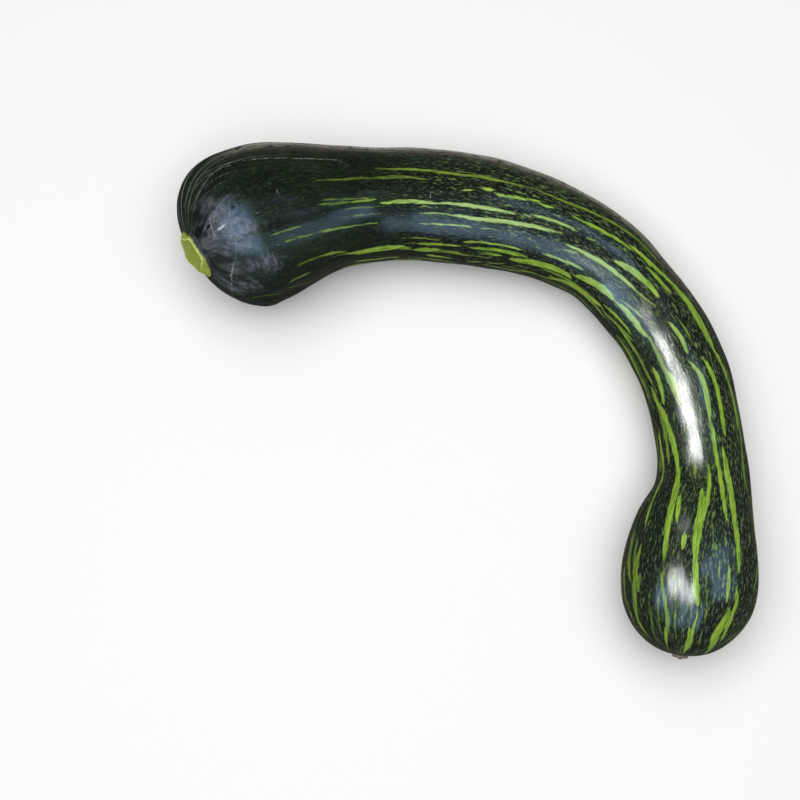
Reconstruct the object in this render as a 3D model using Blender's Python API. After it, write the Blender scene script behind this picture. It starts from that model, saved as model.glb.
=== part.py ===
"""A long hooked squash as picked, lying on a flat surface: the fruit, its cut stem stub and its blossom scar.

The frame is metres, +Z up, with the origin on the surface below the middle of the fruit. The route runs from
the stem end at -X, along the top of the hook, round the bend and down to the blossom end at -Y.
"""

import math

import bmesh
import bpy
import numpy as np
from mathutils import Vector

# The fruit's route from its stem pole to its blossom pole: x, y and height of the middle, and the radius.
# The two end rows carry the radius of the bulb beside them, which the rounded ends then draw in.
STATIONS = (
    (-0.1727, 0.0910, 0.0605, 0.0532),
    (-0.1392, 0.1116, 0.0523, 0.0532),
    (-0.1187, 0.1190, 0.0504, 0.0508),
    (-0.0962, 0.1250, 0.0476, 0.0443),
    (-0.0732, 0.1290, 0.0442, 0.0395),
    (-0.0402, 0.1315, 0.0410, 0.0374),
    (0.0133, 0.1269, 0.0385, 0.0367),
    (0.0398, 0.1215, 0.0363, 0.0350),
    (0.0663, 0.1117, 0.0334, 0.0328),
    (0.0933, 0.0970, 0.0302, 0.0308),
    (0.1153, 0.0740, 0.0291, 0.0297),
    (0.1321, 0.0495, 0.0300, 0.0295),
    (0.1451, 0.0217, 0.0320, 0.0293),
    (0.1551, -0.0373, 0.0352, 0.0287),
    (0.1541, -0.0653, 0.0378, 0.0323),
    (0.1490, -0.0848, 0.0402, 0.0383),
    (0.1440, -0.1128, 0.0422, 0.0431),
    (0.1363, -0.1663, 0.0412, 0.0431),
)
# How far each rounded end reaches from its pole to the widest ring, and how square its shoulder is.
STEM_END_LENGTH = 0.0410
BLOSSOM_END_LENGTH = 0.0540
SHOULDER_POWER = 2.2

# Five lobes meet at the stem. Their grooves fade into the neck and show again, fainter, at the blossom end.
LOBES = 5
FIRST_GROOVE = math.radians(56)
GROOVE_SHARPNESS = 3
STEM_GROOVE_DEPTH = 0.060
NECK_GROOVE_DEPTH = 0.007
BLOSSOM_GROOVE_DEPTH = 0.022
STEM_GROOVE_REACH = 0.110
BLOSSOM_GROOVE_REACH = 0.060

# The flat that the stub grows from, and the one under the blossom scar.
STEM_SEAT_RADIUS = 0.0165
BLOSSOM_SEAT_RADIUS = 0.0048

# The stub: a five-ridged foot that flares onto the fruit, cut off on a slight slant.
STUB_HEIGHT = 0.0039
STUB_CUT_RADIUS = 0.0118
STUB_FOOT_RADIUS = 0.0162
STUB_RIDGE = 0.09
STUB_FIRST_RIDGE = math.radians(25)
STUB_CUT_SLANT = 0.06
STUB_LEAN = 0.0010
STUB_HOLLOW = 0.0008
STUB_RIM = 0.87

# The blossom scar: a low corky button with a nib where the style stood.
SCAR_RADIUS = 0.0050
SCAR_HEIGHT = 0.0016
SCAR_NIB_RADIUS = 0.0014
SCAR_NIB_HEIGHT = 0.0010

# Pieces that touch keep this gap.
GAP = 0.0003

# How finely the solids are cut.
FRUIT_SIDES = 64
NECK_RINGS = 40
END_RINGS = 9
STUB_SIDES = 40
SCAR_SIDES = 20

# Colour and roughness of the waxy skin, the fibrous stub and the corky scar.
SKIN_COLOUR = (0.012, 0.028, 0.010, 1.0)
SKIN_ROUGHNESS = 0.30
STUB_COLOUR = (0.330, 0.430, 0.060, 1.0)
STUB_ROUGHNESS = 0.60
SCAR_COLOUR = (0.110, 0.062, 0.040, 1.0)
SCAR_ROUGHNESS = 0.80
SHARP_EDGE = math.radians(50)


def cubic_through(knots, values):
    """A function that passes smoothly through the values at the knots, straight at its two ends."""
    steps = np.diff(knots)
    slopes = np.diff(values, axis=0) / steps[:, None]
    matrix = np.eye(len(knots))
    right = np.zeros_like(values)
    for i in range(1, len(knots) - 1):
        matrix[i, i - 1 : i + 2] = steps[i - 1], 2 * (steps[i - 1] + steps[i]), steps[i]
        right[i] = 6 * (slopes[i] - slopes[i - 1])
    bends = np.linalg.solve(matrix, right)

    def at(distance):
        i = int(np.clip(np.searchsorted(knots, distance) - 1, 0, len(steps) - 1))
        before = distance - knots[i]
        after = knots[i + 1] - distance
        return (
            (bends[i] * after**3 + bends[i + 1] * before**3) / (6 * steps[i])
            + (values[i] / steps[i] - bends[i] * steps[i] / 6) * after
            + (values[i + 1] / steps[i] - bends[i + 1] * steps[i] / 6) * before
        )

    return at


class Route:
    """The fruit's middle line with its radius, measured along its length from the stem pole."""

    def __init__(self, stations):
        rows = np.array(stations)
        chords = np.linalg.norm(np.diff(rows[:, :3], axis=0), axis=1)
        knots = np.concatenate([[0.0], np.cumsum(chords)])
        self.length = float(knots[-1])
        self.row_at = cubic_through(knots, rows)

    def place(self, distance):
        """The middle there, and the unit vectors along the route, to its outer side and up."""
        nudge = 1e-4
        middle = Vector(self.row_at(distance)[:3])
        ahead = Vector(self.row_at(distance + nudge)[:3])
        behind = Vector(self.row_at(distance - nudge)[:3])
        along = (ahead - behind).normalized()
        outward = Vector((0, 0, 1)).cross(along).normalized()
        return middle, along, outward, along.cross(outward)

    def radius(self, distance):
        """The radius there, drawn in towards the two poles."""
        full = float(self.row_at(distance)[3])
        from_stem = 1 - distance / STEM_END_LENGTH
        from_blossom = 1 - (self.length - distance) / BLOSSOM_END_LENGTH
        share = max(from_stem, from_blossom, 0.0)
        return full * float(max(0.0, 1 - share**SHOULDER_POWER)) ** (1 / SHOULDER_POWER)


def fade(distance, reach):
    """1 at no distance, falling smoothly to 0 at the reach."""
    share = min(max(distance / reach, 0.0), 1.0)
    return (1 - share) ** 2 * (1 + 2 * share)


def lobe_share(route, distance, angle):
    """How much of the radius is left at this angle round the fruit, once its grooves are pressed in."""
    groove = (0.5 + 0.5 * math.cos(LOBES * (angle - FIRST_GROOVE))) ** GROOVE_SHARPNESS
    stem = STEM_GROOVE_DEPTH * fade(distance, STEM_GROOVE_REACH)
    blossom = BLOSSOM_GROOVE_DEPTH * fade(route.length - distance, BLOSSOM_GROOVE_REACH)
    return float(1 - (NECK_GROOVE_DEPTH + stem + blossom) * groove)


def seat_distance(route, seat_radius, far_end):
    """How far along the route an end is as wide as its seat."""
    near, far = 0.0, STEM_END_LENGTH / 2
    for _ in range(40):
        middle = (near + far) / 2
        at = route.length - middle if far_end else middle
        if route.radius(at) < seat_radius:
            near = middle
        else:
            far = middle
    return route.length - near if far_end else near


def ring_distances(route):
    """Where the rings lie along the route: close together on the rounded ends, even between them."""
    first = seat_distance(route, STEM_SEAT_RADIUS, far_end=False)
    last = seat_distance(route, BLOSSOM_SEAT_RADIUS, far_end=True)
    widest = route.length - BLOSSOM_END_LENGTH
    turn = 1 - np.cos(np.linspace(0, math.pi / 2, END_RINGS))
    stem = first + (STEM_END_LENGTH - first) * turn
    blossom = last - (last - widest) * turn
    neck = np.linspace(STEM_END_LENGTH, widest, NECK_RINGS + 2)[1:-1]
    return [*stem, *neck, *blossom[::-1]]


def drawn_from_sphere(sides, rings, place):
    """A closed mesh: a sphere whose poles and rings are moved to place(ring, angle), poles included."""
    mesh = bmesh.new()
    bmesh.ops.create_uvsphere(mesh, u_segments=sides, v_segments=rings + 1, radius=1.0)
    for vertex in mesh.verts:
        ring = round(math.acos(max(-1.0, min(1.0, vertex.co.z))) / math.pi * (rings + 1))
        vertex.co = place(ring, math.atan2(vertex.co.y, vertex.co.x))
    if mesh.calc_volume(signed=True) < 0:
        bmesh.ops.reverse_faces(mesh, faces=mesh.faces)
    return mesh


def fruit_mesh(route):
    """The hooked body: rings along the route, closed at its two seats and flat where it rests."""
    distances = ring_distances(route)

    def place(ring, angle):
        at = distances[min(max(ring - 1, 0), len(distances) - 1)]
        middle, _, outward, up = route.place(at)
        if ring in (0, len(distances) + 1):
            return middle
        reach = route.radius(at) * lobe_share(route, at, angle)
        point = middle + reach * (math.cos(angle) * up + math.sin(angle) * outward)
        point.z = max(point.z, 0.0)
        return point

    return drawn_from_sphere(FRUIT_SIDES, len(distances), place)


def stub_mesh(route):
    """The stem's foot: five rounded ridges that flare onto the fruit, and a dished cut above them."""
    seat, along, outward, up = route.place(seat_distance(route, STEM_SEAT_RADIUS, far_end=False))
    axis = -along
    foot, cut = STUB_FOOT_RADIUS, STUB_CUT_RADIUS
    # Radius, and share of the height, from the middle of the foot round to the middle of the cut.
    profile = (
        (0.0, 0.0),
        (foot, 0.0),
        (foot * 0.995, 0.10),
        (foot * 0.94, 0.26),
        (cut * 1.14, 0.50),
        (cut * 1.04, 0.76),
        (cut * 1.01, 0.94),
        (cut * 0.97, 1.0),
        (cut * STUB_RIM, 1.0),
        (cut * STUB_RIM * 0.92, 1.0 - STUB_HOLLOW / STUB_HEIGHT),
        (0.0, 1.0 - STUB_HOLLOW / STUB_HEIGHT),
    )

    def place(ring, angle):
        radius, share = profile[ring]
        ridged = radius * (1 + STUB_RIDGE * math.cos(LOBES * (angle - STUB_FIRST_RIDGE)))
        upward = ridged * math.cos(angle)
        sideways = ridged * math.sin(angle) + STUB_LEAN * share
        height = GAP + share * (STUB_HEIGHT - STUB_CUT_SLANT * upward)
        return seat + axis * height + up * upward + outward * sideways

    return drawn_from_sphere(STUB_SIDES, len(profile) - 2, place)


def scar_mesh(route):
    """The corky button at the blossom pole, with the nib of the old style in its middle."""
    seat, axis, outward, up = route.place(seat_distance(route, BLOSSOM_SEAT_RADIUS, far_end=True))
    wide, nib = SCAR_RADIUS, SCAR_NIB_RADIUS
    # Radius and height, from the middle of the button's base round to the nib's tip.
    profile = (
        (0.0, 0.0),
        (wide * 0.88, 0.0),
        (wide, SCAR_HEIGHT * 0.30),
        (wide * 0.90, SCAR_HEIGHT * 0.72),
        (wide * 0.62, SCAR_HEIGHT),
        (nib * 1.7, SCAR_HEIGHT * 0.92),
        (nib, SCAR_HEIGHT + SCAR_NIB_HEIGHT * 0.5),
        (nib * 0.6, SCAR_HEIGHT + SCAR_NIB_HEIGHT * 0.9),
        (0.0, SCAR_HEIGHT + SCAR_NIB_HEIGHT),
    )

    def place(ring, angle):
        radius, height = profile[ring]
        sides = math.cos(angle) * up + math.sin(angle) * outward
        return seat + axis * (GAP + height) + radius * sides

    return drawn_from_sphere(SCAR_SIDES, len(profile) - 2, place)


def add_piece(name, mesh, colour, roughness):
    """An object of that name in the scene, smooth, with a plain material of its own."""
    data = bpy.data.meshes.new(name)
    mesh.to_mesh(data)
    mesh.free()
    data.shade_smooth()
    data.set_sharp_from_angle(angle=SHARP_EDGE)
    material = bpy.data.materials.new(name)
    material.use_nodes = True
    shader = material.node_tree.nodes["Principled BSDF"]
    shader.inputs["Base Color"].default_value = colour
    shader.inputs["Roughness"].default_value = roughness
    shader.inputs["Metallic"].default_value = 0.0
    data.materials.append(material)
    piece = bpy.data.objects.new(name, data)
    bpy.context.scene.collection.objects.link(piece)
    return piece


def main():
    """Clears the scene and builds the three pieces."""
    for item in list(bpy.data.objects):
        bpy.data.objects.remove(item)
    route = Route(STATIONS)
    add_piece("fruit", fruit_mesh(route), SKIN_COLOUR, SKIN_ROUGHNESS)
    add_piece("stem_stub", stub_mesh(route), STUB_COLOUR, STUB_ROUGHNESS)
    add_piece("blossom_scar", scar_mesh(route), SCAR_COLOUR, SCAR_ROUGHNESS)


main()
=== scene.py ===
"""The looks of a long hooked squash: its streaked waxy skin, its cut stem stub and its corky blossom scar.

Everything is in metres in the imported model's frame, with +Z up. A place on the skin is a distance along the
fruit's route from the stem pole, and an angle round it: 0 on top, positive towards the hook's outer side.
"""

import logging
import math
import random
from dataclasses import dataclass, field
from enum import Enum

import bmesh
import bpy
import numpy as np
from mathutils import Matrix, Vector


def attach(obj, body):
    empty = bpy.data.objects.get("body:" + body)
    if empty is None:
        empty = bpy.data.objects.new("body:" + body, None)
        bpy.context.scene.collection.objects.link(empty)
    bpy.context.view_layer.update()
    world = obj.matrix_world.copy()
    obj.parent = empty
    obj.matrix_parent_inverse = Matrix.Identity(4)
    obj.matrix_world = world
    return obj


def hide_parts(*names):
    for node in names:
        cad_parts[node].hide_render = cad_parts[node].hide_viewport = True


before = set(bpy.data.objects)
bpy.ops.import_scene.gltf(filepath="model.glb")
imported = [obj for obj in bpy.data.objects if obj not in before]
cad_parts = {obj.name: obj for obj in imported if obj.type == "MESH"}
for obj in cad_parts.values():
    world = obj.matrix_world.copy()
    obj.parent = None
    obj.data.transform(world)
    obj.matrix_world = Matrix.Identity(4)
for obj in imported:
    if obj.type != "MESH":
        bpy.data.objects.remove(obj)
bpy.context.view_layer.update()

LOG = logging.getLogger("squash")
Colour = tuple[float, float, float, float]
Range = tuple[float, float]
Pixel = tuple[float, float]
Point = tuple[float, float, float]


@dataclass(frozen=True)
class Grain:
    """A soft noise in a material.

    The scale is the number of its grains in a metre along each axis, detail the number of finer layers, and
    shift an offset that gives another pattern.
    """

    scale: tuple[float, float, float]
    shift: float = 0.0
    detail: float = 2.0


class Value:
    """A socket that holds one number, on which Python's operators add Math nodes."""

    def __init__(self, graph: "Graph", socket: bpy.types.NodeSocket) -> None:
        """Wraps a socket of a graph."""
        self.graph = graph
        self.socket = socket

    def __add__(self, other: "Value | float") -> "Value":
        """The sum."""
        return self.graph.math("ADD", self, other)

    def __sub__(self, other: "Value | float") -> "Value":
        """The difference."""
        return self.graph.math("SUBTRACT", self, other)

    def __rsub__(self, other: float) -> "Value":
        """The difference, with the number first."""
        return self.graph.math("SUBTRACT", other, self)

    def __mul__(self, other: "Value | float") -> "Value":
        """The product."""
        return self.graph.math("MULTIPLY", self, other)

    __radd__ = __add__
    __rmul__ = __mul__

    def stray(self, weight: float) -> "Value":
        """How far a noise strays from its middle, times a weight."""
        return (self - 0.5) * weight

    def line(self, start: float, slope: float) -> "Value":
        """A start plus the value times a slope."""
        return start + self * slope

    def step(self, low: float, high: float) -> "Value":
        """A smooth step between two values.

        Args:
            low: where the step is 0.
            high: where it is 1, which may be the smaller of the two.

        Returns:
            The step.
        """
        low_at, high_at, ends = (low, high, (0.0, 1.0)) if low < high else (high, low, (1.0, 0.0))
        node = self.graph.node(
            "ShaderNodeMapRange",
            {"interpolation_type": "SMOOTHSTEP"},
            {"Value": self, "From Min": low_at, "From Max": high_at, "To Min": ends[0], "To Max": ends[1]},
        )
        return Value(self.graph, node.outputs["Result"])


class Graph:
    """One material's node tree, to which a single method adds every node."""

    def __init__(self, name: str) -> None:
        """Makes the material with its Principled shader.

        Args:
            name: the material's name.
        """
        self.material = bpy.data.materials.new(name)
        self.material.use_nodes = True
        self.tree = self.material.node_tree
        self.shader = self.tree.nodes["Principled BSDF"]

    def feed(self, socket: bpy.types.NodeSocket, value: object) -> None:
        """Fills a socket.

        Args:
            socket: the input.
            value: the value or output that is linked to it, or else a constant.
        """
        source = value.socket if isinstance(value, Value) else value
        if isinstance(source, bpy.types.NodeSocket):
            self.tree.links.new(source, socket)
        else:
            socket.default_value = source

    def node(self, kind: str, settings: dict | None = None, inputs: dict | None = None) -> bpy.types.Node:
        """Adds a node.

        Args:
            kind: the node's type.
            settings: its properties, set first.
            inputs: constants, outputs or values for its sockets, by name or number.

        Returns:
            The new node.
        """
        node = self.tree.nodes.new(kind)
        for name, value in (settings or {}).items():
            setattr(node, name, value)
        for key, value in (inputs or {}).items():
            self.feed(node.inputs[key], value)
        return node

    def math(self, operation: str, first: "Value | float", second: "Value | float") -> Value:
        """The result of a Math node on two values."""
        node = self.node("ShaderNodeMath", {"operation": operation}, {0: first, 1: second})
        return Value(self, node.outputs[0])

    def attribute(self, name: str) -> bpy.types.Node:
        """A node that reads one of the piece's own attributes."""
        return self.node("ShaderNodeAttribute", {"attribute_name": name})

    def number(self, name: str) -> Value:
        """One of the piece's own attributes that holds a number."""
        return Value(self, self.attribute(name).outputs["Fac"])

    def part(self, vector: bpy.types.NodeSocket, axis: str) -> Value:
        """One of the three numbers of a vector."""
        return Value(self, self.node("ShaderNodeSeparateXYZ", None, {"Vector": vector}).outputs[axis])

    def noise(self, place: bpy.types.NodeSocket, grain: Grain) -> Value:
        """Soft noise between about 0 and 1.

        Args:
            place: the vector that the noise is read at, in metres.
            grain: how coarse it is.

        Returns:
            The noise.
        """
        scaled = self.node(
            "ShaderNodeVectorMath",
            {"operation": "MULTIPLY_ADD"},
            {0: place, 1: grain.scale, 2: (grain.shift,) * 3},
        )
        inputs = {"Vector": scaled.outputs[0], "Scale": 1.0, "Detail": grain.detail}
        return Value(self, self.node("ShaderNodeTexNoise", None, inputs).outputs["Fac"])

    def mix(self, share: "Value | float", first: object, second: object) -> bpy.types.NodeSocket:
        """A colour between two, by the share of the second."""
        node = self.node("ShaderNodeMix", {"data_type": "RGBA"}, {0: share, 6: first, 7: second})
        return node.outputs[2]

    def bump(self, height: Value, distance: float, strength: float = 1.0,
             normal: bpy.types.NodeSocket | None = None) -> bpy.types.NodeSocket:
        """Bends a normal by a height.

        Args:
            height: the height, from 0 to 1.
            distance: what a height of 1 stands for, in metres.
            strength: the share of the bend that is kept.
            normal: the normal that is bent, or the surface's own.

        Returns:
            The bent normal.
        """
        inputs = {"Height": height, "Distance": distance, "Strength": strength}
        if normal is not None:
            inputs["Normal"] = normal
        return self.node("ShaderNodeBump", None, inputs).outputs["Normal"]

    def finish(self, colour: object, roughness: object, normal: object,
               **constants: object) -> bpy.types.Material:
        """Feeds the shader and gives the material.

        Args:
            colour: the base colour.
            roughness: the roughness.
            normal: the bent normal.
            **constants: other sockets' values, with _ for each space in their names.

        Returns:
            The material.
        """
        self.feed(self.shader.inputs["Base Color"], colour)
        self.feed(self.shader.inputs["Roughness"], roughness)
        self.feed(self.shader.inputs["Normal"], normal)
        for name, value in constants.items():
            self.feed(self.shader.inputs[name.replace("_", " ")], value)
        return self.material


def unrolled_sphere(sides: int, rings: int) -> tuple[bmesh.types.BMesh, np.ndarray, np.ndarray]:
    """A sphere round Z, whose vertices are then moved onto a turned shape.

    Args:
        sides: how many vertices a ring has.
        rings: how many rings lie between the two poles.

    Returns:
        The sphere, the number of each vertex's ring from 0 at the first pole, and its angle round Z.
    """
    work = bmesh.new()
    bmesh.ops.create_uvsphere(work, u_segments=sides, v_segments=rings + 1, radius=1.0)
    places = np.array([vertex.co for vertex in work.verts])
    ring = np.rint(np.arccos(np.clip(places[:, 2], -1, 1)) / math.pi * (rings + 1)).astype(int)
    return work, ring, np.arctan2(places[:, 1], places[:, 0])


def move_vertices(work: bmesh.types.BMesh, points: np.ndarray) -> None:
    """Moves a shape's vertices, in their order."""
    for vertex, point in zip(work.verts, points):
        vertex.co = point


def finished_piece(work: bmesh.types.BMesh, name: str, material: bpy.types.Material) -> bpy.types.Object:
    """Turns a shape into a smooth object of the scene.

    Args:
        work: the shape, which it frees.
        name: the name of the object and its mesh.
        material: what it is made of.

    Returns:
        The object, with its faces outwards.
    """
    if work.calc_volume(signed=True) < 0:
        bmesh.ops.reverse_faces(work, faces=work.faces)
    mesh = bpy.data.meshes.new(name)
    work.to_mesh(mesh)
    work.free()
    mesh.shade_smooth()
    mesh.materials.append(material)
    piece = bpy.data.objects.new(name, mesh)
    bpy.context.scene.collection.objects.link(piece)
    return piece


def paint(mesh: bpy.types.Mesh, name: str, values: np.ndarray) -> None:
    """Stores a number for each of a mesh's vertices, or three in a row, as an attribute."""
    kind, slot = ("FLOAT_VECTOR", "vector") if values.ndim == 2 else ("FLOAT", "value")
    mesh.attributes.new(name, kind, "POINT").data.foreach_set(slot, values.astype(np.float32).ravel())


@dataclass(frozen=True)
class PhotoView:
    """The camera that looks down on the squash, and its square frame in pixels."""

    frame_px: float = 800.0
    focal_px: float = 1692.0
    sensor_mm: float = 36.0
    elevation: float = math.radians(78)
    distance: float = 1.10
    aim: Point = (-0.0401, -0.0018, 0.040)

    @property
    def axes(self) -> np.ndarray:
        """The unit vectors to the frame's right, up and back towards the camera, in rows."""
        sine, cosine = math.sin(self.elevation), math.cos(self.elevation)
        return np.array([(1.0, 0.0, 0.0), (0.0, sine, cosine), (0.0, -cosine, sine)])

    def project(self, points: np.ndarray) -> np.ndarray:
        """Finds where points are seen.

        Args:
            points: their places, in rows.

        Returns:
            Their pixels, in rows.
        """
        right, up, back = self.axes @ (points - np.array(self.aim)).T
        scale = self.focal_px / (self.distance - back)
        half = self.frame_px / 2
        return np.stack([half + right * scale, half - up * scale], axis=1)

    def make(self) -> bpy.types.Object:
        """Puts the camera in the scene.

        Returns:
            The camera.
        """
        right, up, back = (Vector(row) for row in self.axes)
        data = bpy.data.cameras.new("camera")
        data.sensor_width = self.sensor_mm
        data.lens = self.sensor_mm * self.focal_px / self.frame_px
        camera = bpy.data.objects.new("camera", data)
        camera.location = Vector(self.aim) + back * self.distance
        camera.rotation_mode = "QUATERNION"
        camera.rotation_quaternion = (-back).to_track_quat("-Z", "Y")
        bpy.context.scene.collection.objects.link(camera)
        bpy.context.scene.camera = camera
        return camera


class SmoothLine:
    """A curve that passes smoothly through rows of values, straight at its two ends."""

    def __init__(self, knots: np.ndarray, rows: np.ndarray) -> None:
        """Solves for the bends at the knots.

        Args:
            knots: the distances along the curve.
            rows: the values there.
        """
        self.knots, self.rows = knots, rows
        self.steps = np.diff(knots)
        slopes = np.diff(rows, axis=0) / self.steps[:, None]
        matrix = np.eye(len(knots))
        right = np.zeros_like(rows)
        for i in range(1, len(knots) - 1):
            before, after = self.steps[i - 1 : i + 1]
            matrix[i, i - 1 : i + 2] = before, 2 * (before + after), after
            right[i] = 6 * (slopes[i] - slopes[i - 1])
        self.bends = np.linalg.solve(matrix, right)

    def at(self, distance: np.ndarray) -> np.ndarray:
        """Reads the curve.

        Args:
            distance: some distances along it.

        Returns:
            The rows of values there.
        """
        i = np.clip(np.searchsorted(self.knots, distance) - 1, 0, len(self.steps) - 1)
        step = self.steps[i][:, None]
        before = (distance - self.knots[i])[:, None]
        after = (self.knots[i + 1] - distance)[:, None]
        return (
            (self.bends[i] * after**3 + self.bends[i + 1] * before**3) / (6 * step)
            + (self.rows[i] / step - self.bends[i] * step / 6) * after
            + (self.rows[i + 1] / step - self.bends[i + 1] * step / 6) * before
        )


def fade(distance: np.ndarray, reach: float) -> np.ndarray:
    """1 at no distance, falling smoothly to 0 at the reach."""
    share = np.clip(distance / reach, 0.0, 1.0)
    return (1 - share) ** 2 * (1 + 2 * share)


def ramp(value: np.ndarray, ends: Range) -> np.ndarray:
    """0 at the first end and 1 at the second, straight between them and level beyond."""
    return np.clip((value - ends[0]) / (ends[1] - ends[0]), 0.0, 1.0)


@dataclass(frozen=True)
class Wave:
    """A wave along a shape, whose crests may sway: the number of sways in a turn round the shape is turns."""

    weight: float
    rate: float
    phase: float
    sway: float = 0.0
    turns: int = 1
    sway_phase: float = 0.0

    def at(self, distance: np.ndarray, angle: np.ndarray | float = 0.0) -> np.ndarray:
        """The wave's height at some distances and angles."""
        sway = self.sway * np.sin(self.turns * angle + self.sway_phase)
        return self.weight * np.sin(distance * self.rate + sway + self.phase)


@dataclass(frozen=True)
class Ripple:
    """A small wave round a turned shape, with some crests in a turn, which twists with the share."""

    height: float
    crests: int
    twist: float = 0.0
    phase: float = 0.0

    def at(self, angle: np.ndarray, share: np.ndarray | float = 0.0) -> np.ndarray:
        """The ripple's height at some angles and shares of the shape."""
        return self.height * np.sin(self.crests * angle + self.twist * share + self.phase)


@dataclass(frozen=True)
class FruitForm:
    """The hooked body's shape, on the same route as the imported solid.

    Each station holds the x, y and height of the body's middle, and its radius.
    """

    stations: tuple[tuple[float, float, float, float], ...] = (
        (-0.1727, 0.0910, 0.0605, 0.0532),
        (-0.1392, 0.1116, 0.0523, 0.0532),
        (-0.1187, 0.1190, 0.0504, 0.0508),
        (-0.0962, 0.1250, 0.0476, 0.0443),
        (-0.0732, 0.1290, 0.0442, 0.0395),
        (-0.0402, 0.1315, 0.0410, 0.0374),
        (0.0133, 0.1269, 0.0385, 0.0367),
        (0.0398, 0.1215, 0.0363, 0.0350),
        (0.0663, 0.1117, 0.0334, 0.0328),
        (0.0933, 0.0970, 0.0302, 0.0308),
        (0.1153, 0.0740, 0.0291, 0.0297),
        (0.1321, 0.0495, 0.0300, 0.0295),
        (0.1451, 0.0217, 0.0320, 0.0293),
        (0.1551, -0.0373, 0.0352, 0.0287),
        (0.1541, -0.0653, 0.0378, 0.0323),
        (0.1490, -0.0848, 0.0402, 0.0383),
        (0.1440, -0.1128, 0.0422, 0.0431),
        (0.1363, -0.1663, 0.0412, 0.0431),
    )
    stem_end_length: float = 0.0410
    blossom_end_length: float = 0.0540
    shoulder_power: float = 2.2
    lobes: int = 5
    first_groove: float = math.radians(56)
    groove_sharpness: float = 3.0
    stem_groove_depth: float = 0.060
    neck_groove_depth: float = 0.007
    blossom_groove_depth: float = 0.022
    stem_groove_reach: float = 0.110
    blossom_groove_reach: float = 0.060
    stem_seat_radius: float = 0.0165
    blossom_seat_radius: float = 0.0048
    lump_height: float = 0.000175
    lumps: tuple[Wave, ...] = (
        Wave(1.0, 71.0, 0.0, 1.4, 1, 0.6),
        Wave(1.0, 133.0, 2.1, 2.0, 1, -0.9 - math.pi / 2),
        Wave(0.6, 211.0, 0.4, 3.0, 2, 0.0),
    )
    rib_height: float = 0.00022
    rib_unevenness: Ripple = Ripple(0.3, 3, 0.0, 1.0)
    rib_drifts: tuple[Wave, ...] = (Wave(2.0, 38.0, 0.0), Wave(1.2, 90.0, 1.0))
    stem_rib_reach: float = 0.17
    blossom_rib_reach: float = 0.09
    blossom_rib_share: float = 0.6
    neck_rib_share: float = 0.15
    smooth_pole: float = 0.012
    ribs: int = 30
    halvings: int = 40
    nudge: float = 1e-4

    def __post_init__(self) -> None:
        """Draws the route through the stations."""
        rows = np.array(self.stations)
        chords = np.linalg.norm(np.diff(rows[:, :3], axis=0), axis=1)
        knots = np.concatenate([[0.0], np.cumsum(chords)])
        object.__setattr__(self, "line", SmoothLine(knots, rows))
        object.__setattr__(self, "length", float(knots[-1]))

    def place(self, distance: np.ndarray) -> tuple[np.ndarray, np.ndarray, np.ndarray, np.ndarray]:
        """Finds the route's middle and its directions.

        Args:
            distance: some distances along it.

        Returns:
            The middle at each, and the unit vectors along the route, to its outer side and up.
        """
        middle = self.line.at(distance)[:, :3]
        along = self.line.at(distance + self.nudge)[:, :3] - self.line.at(distance - self.nudge)[:, :3]
        along /= np.linalg.norm(along, axis=1)[:, None]
        outward = np.cross(np.array([0.0, 0.0, 1.0]), along)
        outward /= np.linalg.norm(outward, axis=1)[:, None]
        return middle, along, outward, np.cross(along, outward)

    def radius(self, distance: np.ndarray) -> np.ndarray:
        """Finds the plain radius, which is drawn in towards the two poles.

        Args:
            distance: some distances along the route.

        Returns:
            The radius at each.
        """
        from_stem = 1 - distance / self.stem_end_length
        from_blossom = 1 - (self.length - distance) / self.blossom_end_length
        share = np.clip(np.maximum(from_stem, from_blossom), 0.0, 1.0)
        power = self.shoulder_power
        return self.line.at(distance)[:, 3] * (1 - share**power) ** (1 / power)

    def rib_drift(self, distance: np.ndarray) -> np.ndarray:
        """How far the ribs wander round the fruit along the route, in radians of their own phase."""
        return sum(drift.at(distance) for drift in self.rib_drifts)

    def relief(self, distance: np.ndarray, angle: np.ndarray) -> np.ndarray:
        """Finds how far the skin stands off the plain shape: slow lumps, and fine ribs from the two ends.

        Args:
            distance: some distances along the route.
            angle: the angles there.

        Returns:
            The height at each.
        """
        lumps = sum(lump.at(distance, angle) for lump in self.lumps)
        uneven = 1 - self.rib_unevenness.height + self.rib_unevenness.at(angle)
        ribs = np.cos(self.ribs * angle + self.rib_drift(distance)) * uneven
        blossom = self.blossom_rib_share * fade(self.length - distance, self.blossom_rib_reach)
        ends = fade(distance, self.stem_rib_reach) + blossom + self.neck_rib_share
        poles = ramp(np.minimum(distance, self.length - distance), (0.0, self.smooth_pole))
        return poles * (self.lump_height * lumps + self.rib_height * ends * ribs)

    def skin(self, distance: np.ndarray, angle: np.ndarray) -> np.ndarray:
        """Finds points of the skin, which is flat where the fruit rests.

        Args:
            distance: some distances along the route.
            angle: the angles there.

        Returns:
            The points, in rows.
        """
        groove = (0.5 + 0.5 * np.cos(self.lobes * (angle - self.first_groove))) ** self.groove_sharpness
        depth = (
            self.neck_groove_depth
            + self.stem_groove_depth * fade(distance, self.stem_groove_reach)
            + self.blossom_groove_depth * fade(self.length - distance, self.blossom_groove_reach)
        )
        middle, _, outward, up = self.place(distance)
        reach = (self.radius(distance) * (1 - depth * groove) + self.relief(distance, angle))[:, None]
        points = middle + reach * (np.cos(angle)[:, None] * up + np.sin(angle)[:, None] * outward)
        points[:, 2] = np.maximum(points[:, 2], 0.0)
        return points

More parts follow.
